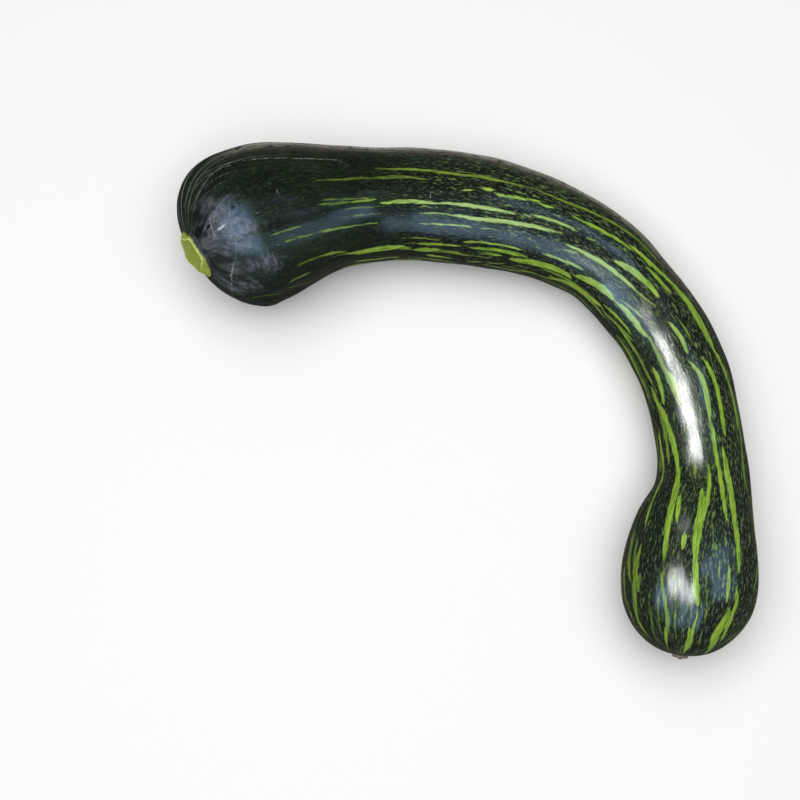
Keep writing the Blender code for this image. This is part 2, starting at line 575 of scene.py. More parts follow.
    def seat_distance(self, seat_radius: float, far_end: bool) -> float:
        """Finds where an end is as wide as its seat, by halving.

        Args:
            seat_radius: the seat's radius.
            far_end: whether it is the blossom end.

        Returns:
            The distance along the route.
        """
        near, far = 0.0, self.stem_end_length / 2
        for _ in range(self.halvings):
            middle = (near + far) / 2
            at = self.length - middle if far_end else middle
            if self.radius(np.array([at]))[0] < seat_radius:
                near = middle
            else:
                far = middle
        return self.length - near if far_end else near

    def seat(self, seat_radius: float, far_end: bool) -> tuple[np.ndarray, ...]:
        """The middle of an end's seat, and the unit vectors along the route, to its outer side and up."""
        return tuple(row[0] for row in self.place(np.array([self.seat_distance(seat_radius, far_end)])))


class Tone(Enum):
    """How strongly a streak stands out from the dark skin."""

    BRIGHT = 1.0
    SOFT = 0.62
    DULL = 0.34


@dataclass(frozen=True)
class Streak:
    """A pale streak: its width, and the pixels that its middle runs through in the photo view."""

    width_px: float
    path: tuple[Pixel, ...]
    tone: Tone = Tone.BRIGHT


BRIGHT, SOFT, DULL = Tone.BRIGHT, Tone.SOFT, Tone.DULL

# The streaks on the stem end and the straight arm, from the outer side inwards.
ARM_STREAKS = (
    Streak(2.4, ((372, 168), (413, 170), (460, 173), (486, 179), (513, 184), (539, 190.5)), SOFT),
    Streak(1.8, ((536, 190), (562, 199), (587, 211), (620, 228), (640, 241), (661, 266)), SOFT),
    Streak(2.2, ((314, 181), (343, 179), (369, 178)), DULL),
    Streak(3.0, ((366, 179), (380, 177.5), (405, 177), (428, 180)), DULL),
    Streak(1.8, ((318, 200), (345, 199), (376, 197)), DULL),
    Streak(2.2, ((461, 190.5), (474, 190))),
    Streak(2.6, ((480, 188), (495, 190.5))),
    Streak(2.0, ((494, 193), (504, 196))),
    Streak(3.2, ((502, 196), (514, 197), (527, 200))),
    Streak(2.0, ((528, 199), (540, 201.5))),
    Streak(2.6, ((538, 204), (553, 208))),
    Streak(2.0, ((316, 205), (336, 203), (352, 201.5)), DULL),
    Streak(2.6, ((350, 202.5), (364, 200.5), (378, 199)), SOFT),
    Streak(1.6, ((346, 209), (368, 207), (386, 206)), DULL),
    Streak(3.8, ((379, 203.5), (400, 201.6), (430, 202.4), (442, 203.6))),
    Streak(3.6, ((436, 203), (460, 204.4), (479, 206), (496, 210), (518, 214.6))),
    Streak(2.0, ((522, 214), (533, 217.5)), SOFT),
    Streak(3.2, ((532, 215), (554, 221), (578, 231.5))),
    Streak(3.0, ((571, 215), (595, 227), (620, 241), (634, 252))),
    Streak(1.6, ((418, 213), (451, 214)), SOFT),
    Streak(4.4, ((446, 214), (479, 219.6), (509, 221), (537, 228), (565, 234))),
    Streak(1.7, ((420, 223.6), (446, 224.6), (474, 227))),
    Streak(1.6, ((479, 227.6), (497, 229.6))),
    Streak(1.5, ((336, 218), (384, 213.5)), DULL),
    Streak(1.9, ((268, 237), (286, 230), (304, 225.5)), DULL),
    Streak(1.9, ((276, 245), (317, 232.6), (350, 226.5), (384, 222)), SOFT),
    Streak(1.5, ((400, 238.6), (442, 240)), SOFT),
    Streak(2.6, ((414, 243.4), (446, 245), (462, 246))),
    Streak(2.2, ((460, 242), (483, 242.6), (500, 245), (524, 250))),
    Streak(2.8, ((296, 267), (308, 261), (324, 256)), DULL),
    Streak(2.6, ((318, 257), (334, 253), (348, 251.5)), SOFT),
    Streak(4.6, ((345, 253), (362, 252), (381, 248.8), (412, 248.6))),
    Streak(4.0, ((414, 249.6), (440, 250))),
    Streak(1.6, ((441, 250.5), (462, 253)), SOFT),
    Streak(3.4, ((470, 247.5), (496, 250), (528, 257.5))),
    Streak(2.0, ((478, 253), (497, 254)), SOFT),
    Streak(2.8, ((289, 283), (300, 277), (312, 272)), DULL),
    Streak(1.6, ((274, 291), (323, 276), (337, 270.5)), DULL),
    Streak(1.4, ((244, 298), (256, 297), (288, 292)), DULL),
    Streak(2.0, ((466, 261.5), (481, 262)), SOFT),
    Streak(1.8, ((486, 263), (505, 263.6)), SOFT),
    Streak(5.6, ((509, 258.5), (537, 263.5), (554, 268.5), (572, 279))),
    Streak(2.2, ((505, 270), (522, 271), (538, 274)), SOFT),
)

# The streaks round the bend.
BEND_STREAKS = (
    Streak(2.6, ((540, 252.6), (562, 260), (584, 270))),
    Streak(4.4, ((563, 243), (588, 254.6), (616, 273), (638, 292.5))),
    Streak(2.2, ((636, 291), (656, 307)), SOFT),
    Streak(2.4, ((562, 248.5), (580, 255)), SOFT),
    Streak(2.0, ((586, 237.5), (597, 241.5)), SOFT),
    Streak(6.4, ((611, 260), (630, 268.8), (644, 280), (659, 298))),
    Streak(3.0, ((645, 265), (658, 278.6), (672, 295.5))),
    Streak(6.8, ((573, 275), (588, 280), (602, 288.4), (616, 301.5))),
    Streak(4.2, ((543, 277), (570, 284), (586, 294), (602, 307))),
    Streak(2.3, ((602, 303), (619, 319), (632, 336))),
    Streak(2.2, ((601, 309), (616, 323.5), (633, 341)), SOFT),
    Streak(5.8, ((617, 303), (630, 315), (640, 329), (648, 338))),
    Streak(2.2, ((621, 299.5), (645, 320)), SOFT),
    Streak(3.4, ((628, 244), (647, 260), (662, 274), (678, 289))),
    Streak(5.6, ((672, 282), (686, 299.6), (696, 315), (706, 333), (715, 354))),
    Streak(3.6, ((712, 347), (723, 367), (730, 387), (735.6, 411), (738, 430))),
    Streak(2.4, ((736, 404), (738.6, 421), (743, 460), (748, 496), (752, 512)), SOFT),
    Streak(1.8, ((674, 314), (684, 327), (692, 341)), SOFT),
    Streak(4.2, ((668, 321), (679, 334.7), (688.5, 355))),
    Streak(2.6, ((631, 343), (643, 365.6), (654, 387)), SOFT),
)

# The streaks down the short arm, beside the shine and towards the blossom end.
NECK_STREAKS = (
    Streak(5.2, ((685, 358), (696, 370), (704.5, 383), (707.4, 403), (710, 421))),
    Streak(4.2, ((708, 414), (713.8, 438), (717, 459), (721, 480))),
    Streak(4.8, ((716, 458), (720.7, 479), (724, 503), (728, 523))),
    Streak(4.4, ((700.5, 355), (711.5, 374), (718.5, 392), (722, 417), (725.4, 438))),
    Streak(4.4, ((646, 333), (658, 353), (664, 371), (673.7, 389.4), (681, 408)), SOFT),
    Streak(5.0, ((665, 369), (672, 379.6), (677.5, 396))),
    Streak(4.6, ((653, 367), (659.6, 384), (664, 405))),
    Streak(3.2, ((651.5, 384), (657, 402), (664, 413), (668, 424))),
    Streak(5.0, ((655, 399), (660.6, 410), (669, 429), (674, 446), (677.6, 469))),
    Streak(6.0, ((676.6, 456), (677.8, 474), (674, 497), (669, 521), (664.7, 547), (663, 566))),
    Streak(2.4, ((657, 431), (663, 450), (662, 469), (659.5, 486), (650, 509), (644, 530))),
    Streak(6.0, ((722.6, 446), (727.6, 476), (732.8, 503), (736, 529), (738.3, 556), (738.8, 574))),
    Streak(2.8, ((694.8, 462), (694.8, 479)), SOFT),
    Streak(4.0, ((708.6, 464), (709.5, 483), (707.6, 500), (704, 520))),
    Streak(8.4, ((701.8, 488), (701.7, 507), (698, 528), (696, 547), (695.6, 566))),
    Streak(6.6, ((696, 556), (695.7, 570), (696.5, 589), (697.6, 607))),
    Streak(4.2, ((681.4, 493.5), (677.8, 510), (677.4, 524))),
    Streak(5.2, ((684.8, 531), (682.6, 549))),
)

# The streaks of the blossom end, which run together at its scar.
BULB_STREAKS = (
    Streak(3.2, ((697.4, 611), (693, 629), (687, 645), (683, 653))),
    Streak(6.4, ((689, 628), (689.4, 640), (684, 652))),
    Streak(3.6, ((729.5, 564), (728.4, 586), (726.6, 602))),
    Streak(1.8, ((719, 562), (719, 581)), SOFT),
    Streak(3.4, ((736, 586), (736, 603.5), (729.3, 622.4), (719, 643))),
    Streak(6.2, ((728.4, 606), (720.7, 627.6), (712, 646), (706, 655))),
    Streak(4.0, ((635.5, 529), (629.5, 555), (631.5, 583)), SOFT),
    Streak(4.2, ((642, 541), (636, 565.5), (635, 587), (634.5, 604), (641.6, 629)), SOFT),
    Streak(3.0, ((640, 572), (638.6, 592)), SOFT),
    Streak(3.4, ((664.4, 567), (663.6, 593), (666.2, 636), (669.5, 652)), SOFT),
    Streak(3.0, ((665.4, 627), (667.4, 643))),
    Streak(2.0, ((658.4, 598), (660.4, 631)), DULL),
    Streak(4.0, ((751, 520), (756, 541), (757, 572), (753.4, 592)), SOFT),
    Streak(2.0, ((648, 600), (652, 625), (660, 645)), DULL),
    Streak(2.0, ((706, 575), (707, 600), (703, 630)), DULL),
    Streak(1.8, ((712, 520), (714, 545)), DULL),
    Streak(2.2, ((676, 575), (675, 610), (676, 640)), DULL),
)

# Thin dry scratches, painted glints by the stem, painted highlights along the rib creases by the stem, and
# small pale specks.
SCRATCHES_AND_GLINTS = (
    Streak(0.5, ((234, 236), (236, 249), (234, 262)), DULL),
    Streak(0.8, ((233.5, 263), (232.4, 270), (230.8, 276)), SOFT),
    Streak(0.6, ((230.8, 277), (231.6, 284), (232, 290)), SOFT),
    Streak(0.7, ((232, 291), (233, 295), (236, 297)), DULL),
    Streak(0.6, ((227.5, 273.5), (230.6, 276.5)), DULL),
    # Painted glints: short white strokes where a highlight sparkles by the stem.
    Streak(0.7, ((209.5, 219.5), (210.3, 224), (212.5, 230), (215, 236)), SOFT),
    Streak(2.1, ((218.5, 229.4), (221, 228), (223.5, 226))),
    Streak(1.1, ((223.5, 226), (226.8, 223)), SOFT),
    Streak(0.8, ((217, 222), (222, 218)), SOFT),
    Streak(1.1, ((404, 152), (405.5, 161), (407, 171)), DULL),
    Streak(1.2, ((428.5, 182), (430, 190), (430, 198)), SOFT),
    Streak(1.0, ((277, 190), (278.5, 198), (278, 206)), DULL),
    # Painted highlights along the rib creases at the stem end's outer rim.
    Streak(1.0, ((195, 184), (212, 169.5), (228, 163), (249, 160), (276, 158), (300, 158.5), (338, 160)),
           SOFT),
    Streak(0.9, ((187.5, 212), (191, 196), (199, 183), (213, 172.5), (232, 165)), SOFT),
    Streak(0.8, ((190.5, 211), (196, 197), (206, 186), (219, 177), (240, 170)), DULL),
    Streak(0.7, ((194, 212), (201, 199), (211, 190), (226, 181)), DULL),
    Streak(0.8, ((184, 206), (188, 192), (196, 181), (208, 170)), DULL),
    Streak(2.2, ((295, 209), (297, 211)), DULL),
    Streak(1.8, ((256, 205.4), (256.8, 206))),
    Streak(1.3, ((257, 213), (257.6, 213.4)), SOFT),
    Streak(1.4, ((339.7, 151.6), (340.4, 151.8))),
    Streak(1.2, ((411.8, 151.4), (412.3, 151.5))),
)

# Dark damp blotches round the stem.
STAINS = (
    Streak(6.5, ((233.5, 209), (236.5, 213.5))),
    Streak(5.0, ((237, 214.5), (241, 216))),
    Streak(6.0, ((241, 215.5), (247.5, 217)), SOFT),
    Streak(5.5, ((190.5, 218.5), (199, 217.5), (206.5, 220)), SOFT),
    Streak(6.0, ((195.5, 232.5), (200.5, 231))),
    Streak(3.5, ((208, 227), (209.5, 225.5))),
    Streak(3.0, ((204.5, 234.5), (206.5, 235))),
    Streak(3.0, ((236, 223.5), (236.8, 223.8)), SOFT),
    Streak(5.0, ((219, 257), (229, 259)), SOFT),
    Streak(4.0, ((207, 262), (213, 264)), DULL),
)

# Broad patches of grey bloom on the stem end, partly real bloom and partly a painted blue-grey sheen of
# reflected sky.
BLOOMS_AND_SHEEN = (
    Streak(34.0, ((216, 218), (226, 226), (238, 232))),
    Streak(22.0, ((208, 238), (226, 247), (242, 244))),
    Streak(14.0, ((240, 268), (256, 266), (274, 260))),
    Streak(14.0, ((226, 284), (240, 288), (252, 286))),
)


@dataclass(frozen=True)
class SkinMark:
    """A streak on the skin: its middle's distances and angles, its half width in metres and its strength."""

    distance: np.ndarray
    angle: np.ndarray
    half_width: float
    strength: float


@dataclass
class SkinMap:
    """Finds the place on the skin that a pixel of the photo view shows."""

    form: FruitForm
    view: PhotoView
    rings: int = 320
    sides: int = 240
    pole_gaps: Range = (0.004, 0.002)
    small: Range = (0.0005, 0.01)
    tiny: Range = (1e-4, 1e-3)
    longest_move: Range = (0.002, 0.03)
    rounds: int = 3
    slackness: float = 1e-3
    nudge: float = 0.02
    most_widening: float = 1.6

    def __post_init__(self) -> None:
        """Samples the side of the skin that faces the camera."""
        form, view = self.form, self.view
        self.metres_per_px = view.distance / view.focal_px
        distance, angle = np.meshgrid(
            np.linspace(self.pole_gaps[0], form.length - self.pole_gaps[1], self.rings),
            np.linspace(-math.pi, math.pi, self.sides, endpoint=False),
            indexing="ij",
        )
        self.distance, self.angle = distance.ravel(), angle.ravel()
        points = form.skin(self.distance, self.angle)
        ahead = form.skin(self.distance + self.small[0], self.angle) - points
        around = form.skin(self.distance, self.angle + self.small[1]) - points
        normal = np.cross(around, ahead)
        eye = np.array(view.aim) + view.axes[2] * view.distance
        middle = form.place(self.distance)[0]
        normal *= np.sign(np.sum(normal * (points - middle), axis=1))[:, None]
        seen = np.sum(normal * (eye - points), axis=1) > 0
        self.distance, self.angle = self.distance[seen], self.angle[seen]
        self.pixels = view.project(points[seen])

    def locate(self, pixels: np.ndarray) -> tuple[np.ndarray, np.ndarray]:
        """Finds places from the nearest samples, and refines them.

        Args:
            pixels: where the places are seen, in rows.

        Returns:
            Their distances and their angles.
        """
        nearest = [int(np.argmin(np.sum((self.pixels - pixel) ** 2, axis=1))) for pixel in pixels]
        distance, angle = self.distance[nearest].copy(), self.angle[nearest].copy()
        step, reach = self.tiny, self.longest_move
        for _ in range(self.rounds):
            here = self.view.project(self.form.skin(distance, angle))
            along = (self.view.project(self.form.skin(distance + step[0], angle)) - here) / step[0]
            around = (self.view.project(self.form.skin(distance, angle + step[1])) - here) / step[1]
            for i, missing in enumerate(pixels - here):
                matrix = np.stack([along[i], around[i]], axis=1)
                move = np.linalg.lstsq(matrix, missing, rcond=self.slackness)[0]
                distance[i] += np.clip(move[0], -reach[0], reach[0])
                angle[i] += np.clip(move[1], -reach[1], reach[1])
        return distance, angle

    def widening(self, distance: np.ndarray, angle: np.ndarray) -> float:
        """Finds how much the skin's slant away from the camera narrows a streak along it.

        Args:
            distance: the distances of the streak's middle.
            angle: its angles.

        Returns:
            How many times wider than it looks the streak is, up to a limit.
        """
        near, far = (self.form.skin(distance, angle + way) for way in (-self.nudge, self.nudge))
        seen = np.linalg.norm(self.view.project(far) - self.view.project(near), axis=1) * self.metres_per_px
        return min(float(np.mean(np.linalg.norm(far - near, axis=1) / seen)), self.most_widening)

    def mark(self, streak: Streak, along: bool = True) -> SkinMark:
        """Lays a streak of the photo view on the skin.

        Args:
            streak: the streak.
            along: whether it runs along the fruit, so that it is widened where the skin slants.

        Returns:
            Its place on the skin.
        """
        distance, angle = self.locate(np.array(streak.path, float))
        wide = self.widening(distance, angle) if along else 1.0
        half_width = streak.width_px * self.metres_per_px * wide / 2
        return SkinMark(distance, np.unwrap(angle), half_width, streak.tone.value)


@dataclass(frozen=True)
class UnseenStreaks:
    """The rule for the streaks underneath: broken lanes, like those on top."""

    seed: int = 11
    lanes: int = 26
    first_angle: float = math.radians(78)
    last_angle: float = math.radians(296)
    first_distance: float = 0.085
    late_start: float = 0.07
    last_start: float = 0.012
    last_end: float = 0.006
    length: Range = (0.012, 0.075)
    gap: Range = (0.004, 0.030)
    width: Range = (0.0007, 0.0040)
    thinning: Range = (0.5, 1.0)
    wander: float = 0.05
    drift: float = 0.10
    tones: tuple[Tone, ...] = (BRIGHT, BRIGHT, SOFT, DULL)

    def marks(self, form: FruitForm) -> list[SkinMark]:
        """Draws every lane from its first streak to the blossom end.

        Args:
            form: the fruit's shape.

        Returns:
            The streaks.
        """
        draw = random.Random(self.seed)
        marks = []
        for angle in np.linspace(self.first_angle, self.last_angle, self.lanes):
            at = self.first_distance + draw.uniform(0.0, self.late_start)
            while at < form.length - self.last_start:
                length = min(draw.uniform(*self.length), form.length - self.last_end - at)
                start = angle + draw.uniform(-self.wander, self.wander)
                end = start + draw.uniform(-self.drift, self.drift)
                width = draw.uniform(*self.width) * draw.uniform(*self.thinning)
                strength = draw.choice(self.tones).value
                ends = np.array([at, at + length]), np.array([start, end])
                marks.append(SkinMark(*ends, width / 2, strength))
                at += length + draw.uniform(*self.gap)
        return marks


@dataclass(frozen=True)
class SkinFinish:
    """The waxy skin: near-black green, with yellow-green streaks and fine flecks; grey bloom with a painted
    sky sheen; dry scratches with painted glints and painted rib highlights; streaks paled by painted sheen; a
    weathered far edge with a painted floor reflection.

    A pair named for an edge, patches or lines holds the two values between which a pattern fades in. A share
    is how much of a pattern shows, and a pair of shares holds what shows everywhere and what its mask adds. A
    fray or a fibre is how much the fine noise, or the fibres, roughen an outline.
    """

    ground: Colour = (0.0025, 0.0065, 0.0030, 1.0)
    ground_light: Colour = (0.0075, 0.0165, 0.0060, 1.0)
    streak: Colour = (0.290, 0.450, 0.052, 1.0)
    streak_deep: Colour = (0.110, 0.230, 0.016, 1.0)
    streak_sheen: Colour = (0.420, 0.560, 0.260, 1.0)
    dash: Colour = (0.145, 0.235, 0.060, 1.0)
    mottle: Colour = (0.030, 0.054, 0.026, 1.0)
    fleck: Colour = (0.120, 0.165, 0.095, 1.0)
    bloom_and_sheen: Colour = (0.115, 0.122, 0.140, 1.0)
    stain: Colour = (0.0035, 0.0035, 0.0050, 1.0)
    weathered_and_reflection: Colour = (0.080, 0.074, 0.050, 1.0)
    rim_wear_and_reflection: Colour = (0.470, 0.450, 0.400, 1.0)
    scratch_and_glint: Colour = (0.560, 0.570, 0.560, 1.0)
    rib_crest_highlight: Colour = (0.240, 0.280, 0.240, 1.0)
    roughness: float = 0.25
    dusty_roughness: float = 0.44
    fibre_grain: Grain = Grain((950, 950, 120))
    fine_grain: Grain = Grain((1500, 1500, 420), 7.0)
    patch_grain: Grain = Grain((60, 60, 34), 3.0)
    light_grain: Grain = Grain((110, 110, 22), 5.0)
    middling_grain: Grain = Grain((260, 260, 240), 41.0)
    mottle_grain: Grain = Grain((640, 640, 170), 23.0)
    fleck_grain: Grain = Grain((1150, 1150, 330), 31.0, 1.0)
    scuff_grain: Grain = Grain((700, 700, 900), 37.0)
    weathered_and_reflection_grain: Grain = Grain((420, 420, 26), 9.0)
    dash_grain: Grain = Grain((600, 600, 150), 11.0, 1.0)
    island_grain: Grain = Grain((820, 820, 210), 13.0, 1.0)
    pit_grain: Grain = Grain((1350, 1350, 800), 17.0)
    bump_grain: Grain = Grain((640, 640, 200), 29.0)
    swell_grain: Grain = Grain((230, 230, 70), 19.0)
    light_edge: Range = (0.35, 0.75)
    mottle_edge: Range = (0.53, 0.66)
    fleck_edge: Range = (0.56, 0.66)
    bloom_and_sheen_edge: Range = (-0.45, 0.75)
    scuff_edge: Range = (0.38, 0.62)
    crest_edge: Range = (0.80, 1.02)
    dash_edge: Range = (0.70, 0.76)
    streak_edge: Range = (-0.22, 0.22)
    streak_rim: Range = (0.75, 0.0)
    island_edge: Range = (0.60, 0.70)
    stain_edge: Range = (-0.4, 0.5)
    scratch_and_glint_edge: Range = (-0.20, 0.25)
    busy_edge: Range = (0.02, 0.35)
    fibre_edge: Range = (0.30, 0.62)
    bloom_and_sheen_patches: Range = (0.38, 0.60)
    crest_patches: Range = (0.30, 0.55)
    weathered_and_reflection_patches: Range = (0.30, 0.50)
    weathered_and_reflection_lines: Range = (0.22, 0.58)
    mottle_share: Range = (0.18, 0.27)
    fleck_share: Range = (0.10, 0.64)
    bloom_and_sheen_share: Range = (0.48, 0.70)
    scuff_share: Range = (0.45, 0.45)
    crest_share: float = 0.75
    weathered_and_reflection_share: float = 0.80
    dash_share: float = 0.75
    island_share: float = 0.65
    sheen_on_streaks_share: float = 0.62
    rim_share: float = 0.55
    scratch_and_glint_share: float = 0.75
    scratch_and_glint_fray: float = 0.9
    mottle_fray: float = 0.25
    bloom_and_sheen_depth: float = 0.085
    bloom_and_sheen_fray: float = 1.4
    bloom_and_sheen_fibre: float = 0.9
    crest_fray: float = 0.5
    dash_fray: float = 0.16
    dash_crowding: float = 0.08
    streak_fibre: float = 2.2
    streak_fray: float = 0.9
    stain_fibre: float = 2.0
    stain_fray: float = 4.0
    fibre_roughness: float = 0.08
    weathered_roughness: float = 0.20
    stain_roughness: float = -0.20
    swell: Range = (0.0005, 0.35)
    coarse: Range = (0.00016, 0.35)
    pits: Range = (0.00008, 0.45)
    ribs: int = 30

    def rib_crest(self, graph: Graph, straight: bpy.types.NodeSocket) -> Value:
        """How high on its rib a place of the straightened fruit lies: 1 on the crest and -1 between ribs."""
        angle = graph.math("ARCTAN2", graph.part(straight, "Y"), graph.part(straight, "X"))
        return graph.math("COSINE", angle * float(self.ribs) + graph.number("rib_drift"), 0.0)

    def material(self) -> bpy.types.Material:
        """Makes the skin's material, from the ground colour up to the scratches.

        Returns:
            The material.
        """
        graph = Graph("squash_skin")
        straight = graph.attribute("straight").outputs["Vector"]
        grains = (self.fibre_grain, self.fine_grain, self.patch_grain, self.light_grain, self.middling_grain)
        fibre, fine, patches, light, middling = (graph.noise(straight, grain) for grain in grains)
        busy = graph.number("busy")

        colour = graph.mix(light.step(*self.light_edge), self.ground, self.ground_light)
        mottle = graph.noise(straight, self.mottle_grain) + fine.stray(self.mottle_fray)
        mottle = mottle.step(*self.mottle_edge) * busy.line(*self.mottle_share)
        colour = graph.mix(mottle, colour, self.mottle)
        fleck = graph.noise(straight, self.fleck_grain).step(*self.fleck_edge)
        colour = graph.mix(fleck * busy.line(*self.fleck_share), colour, self.fleck)

        # Grey bloom with a painted sheen: the blue-grey patch by the stem is partly real bloom and partly
        # painted reflection of the sky.
        uneven = patches.stray(self.bloom_and_sheen_fray) + middling.stray(self.bloom_and_sheen_fray)
        bloom_and_sheen = graph.number("bloom_and_sheen") * self.bloom_and_sheen_depth + uneven + fibre.stray(self.bloom_and_sheen_fibre)
        bloom_and_sheen = bloom_and_sheen.step(*self.bloom_and_sheen_edge)
        bloom_and_sheen = bloom_and_sheen * middling.step(*self.bloom_and_sheen_patches).line(*self.bloom_and_sheen_share)
        scuffs = graph.noise(straight, self.scuff_grain).step(*self.scuff_edge)
        colour = graph.mix(bloom_and_sheen * scuffs.line(*self.scuff_share), colour, self.bloom_and_sheen)
        # Painted highlight: rib crests near the stem are lightened as if they catch the light.
        crest_highlight = (self.rib_crest(graph, straight) + fine.stray(self.crest_fray)).step(*self.crest_edge)
        crest_highlight = crest_highlight * graph.number("ribbed") * patches.step(*self.crest_patches)
        colour = graph.mix(crest_highlight * self.crest_share, colour, self.rib_crest_highlight)
        # Weathered wax on the far edge, with a painted grey-brown reflection of the floor.
        lines = graph.noise(straight, self.weathered_and_reflection_grain).step(*self.weathered_and_reflection_lines)
        weathered_and_reflection = graph.number("weathered_and_reflection") * middling.step(*self.weathered_and_reflection_patches) * lines
        colour = graph.mix(weathered_and_reflection * self.weathered_and_reflection_share, colour, self.weathered_and_reflection)
        # Lighter grey at the far outline: wear with a painted rim reflection.
        colour = graph.mix(weathered_and_reflection * graph.number("edge"), colour, self.rim_wear_and_reflection)

        dash = graph.noise(straight, self.dash_grain) + busy * self.dash_crowding + fine.stray(self.dash_fray)
        dash = dash.step(*self.dash_edge) * busy.step(*self.busy_edge)
        colour = graph.mix(dash * self.dash_share, colour, self.dash)

        inside = graph.number("streak") + fibre.stray(self.streak_fibre) + fine.stray(self.streak_fray)
        islands = graph.noise(straight, self.island_grain).step(*self.island_edge)
        tint = graph.mix(fibre.step(*self.fibre_edge), self.streak_deep, self.streak)
        tint = graph.mix(islands * self.island_share, tint, self.streak_deep)
        # Painted sheen: streaks are paled in the band where the blue-grey sky reflection falls.
        tint = graph.mix(graph.number("sheen_on_streaks") * self.sheen_on_streaks_share, tint, self.streak_sheen)
        tint = graph.mix(inside.step(*self.streak_rim) * self.rim_share, tint, self.streak_deep)
        colour = graph.mix(inside.step(*self.streak_edge) * graph.number("streak_tone"), colour, tint)

        stain = graph.number("stain") + fine.stray(self.stain_fray) + fibre.stray(self.stain_fibre)
        stain = stain.step(*self.stain_edge) * graph.number("stain_tone")
        colour = graph.mix(stain, colour, self.stain)
        # Pale scratches, with painted glints and painted rib highlights drawn in the same colour.
        scratch_and_glint = (graph.number("scratch_and_glint") + fine.stray(self.scratch_and_glint_fray)).step(*self.scratch_and_glint_edge)
        colour = graph.mix(scratch_and_glint * graph.number("scratch_and_glint_tone") * self.scratch_and_glint_share, colour, self.scratch_and_glint)

        roughness = graph.number("dusty").line(self.roughness, self.dusty_roughness - self.roughness)
        roughness = roughness + fibre.stray(self.fibre_roughness) + weathered_and_reflection * self.weathered_roughness
        roughness = roughness + stain * self.stain_roughness
        normal = None
        for grain, (height, share) in (
            (self.swell_grain, self.swell), (self.bump_grain, self.coarse), (self.pit_grain, self.pits)
        ):
            normal = graph.bump(graph.noise(straight, grain), height, share, normal)
        return graph.finish(colour, roughness, normal)


@dataclass(frozen=True)
class SkinZones:
    """Where the skin's finishes and painted light show: angles in degrees and distances in metres, from none
    to full.
    """

    weathered_and_reflection_angles: tuple[Range, ...] = ((34.0, 50.0), (82.0, 64.0))
    weathered_and_reflection_reach: tuple[Range, ...] = ((0.03, 0.07), (0.36, 0.26))
    edge_angles: Range = (45.0, 62.0)
    ribbed_angles: Range = (20.0, 50.0)
    ribbed_reach: float = 0.10
    dusty_reach: float = 0.12
    busy_start: Range = (0.12, 0.22)
    busiest_angle: float = math.radians(40)
    busy_share: float = 0.60
    sheen_band_angle: float = -22.0
    sheen_band_spread: float = 24.0
    sheen_band_strength: float = 1.3
    sheen_band_reach: tuple[Range, ...] = ((0.12, 0.18), (0.44, 0.38))

    def masks(self, distance: np.ndarray, angle: np.ndarray) -> dict[str, np.ndarray]:
        """Works out the finishes' shares.

        Args:
            distance: some distances along the route.
            angle: the angles there.

        Returns:
            The share of each finish there, by the name of its attribute.
        """
        degrees = np.degrees((angle + math.pi) % (2 * math.pi) - math.pi)
        reaches = (self.weathered_and_reflection_reach, self.sheen_band_reach)
        weathered_and_reflection, sheen_on_streaks = (ramp(distance, start) * ramp(distance, end) for start, end in reaches)
        rise, fall = (ramp(degrees, ends) for ends in self.weathered_and_reflection_angles)
        # Band of painted sheen on the streaks, centred where the blue-grey sky reflection falls.
        near = self.sheen_band_strength - np.abs(degrees - self.sheen_band_angle) / self.sheen_band_spread
        side = self.busy_share + (1 - self.busy_share) * np.cos(angle - self.busiest_angle)
        return {
            # Far-edge band: weathered wax with a painted grey-brown floor reflection.
            "weathered_and_reflection": rise * fall * weathered_and_reflection,
            # Outline band where a lighter painted rim reflection is laid over the weathered wax.
            "edge": ramp(degrees, self.edge_angles),
            "ribbed": ramp(degrees, self.ribbed_angles) * fade(distance, self.ribbed_reach),
            "dusty": fade(distance, self.dusty_reach),
            "busy": ramp(distance, self.busy_start) * side,
            "sheen_on_streaks": np.clip(near, 0, 1) * sheen_on_streaks,
        }


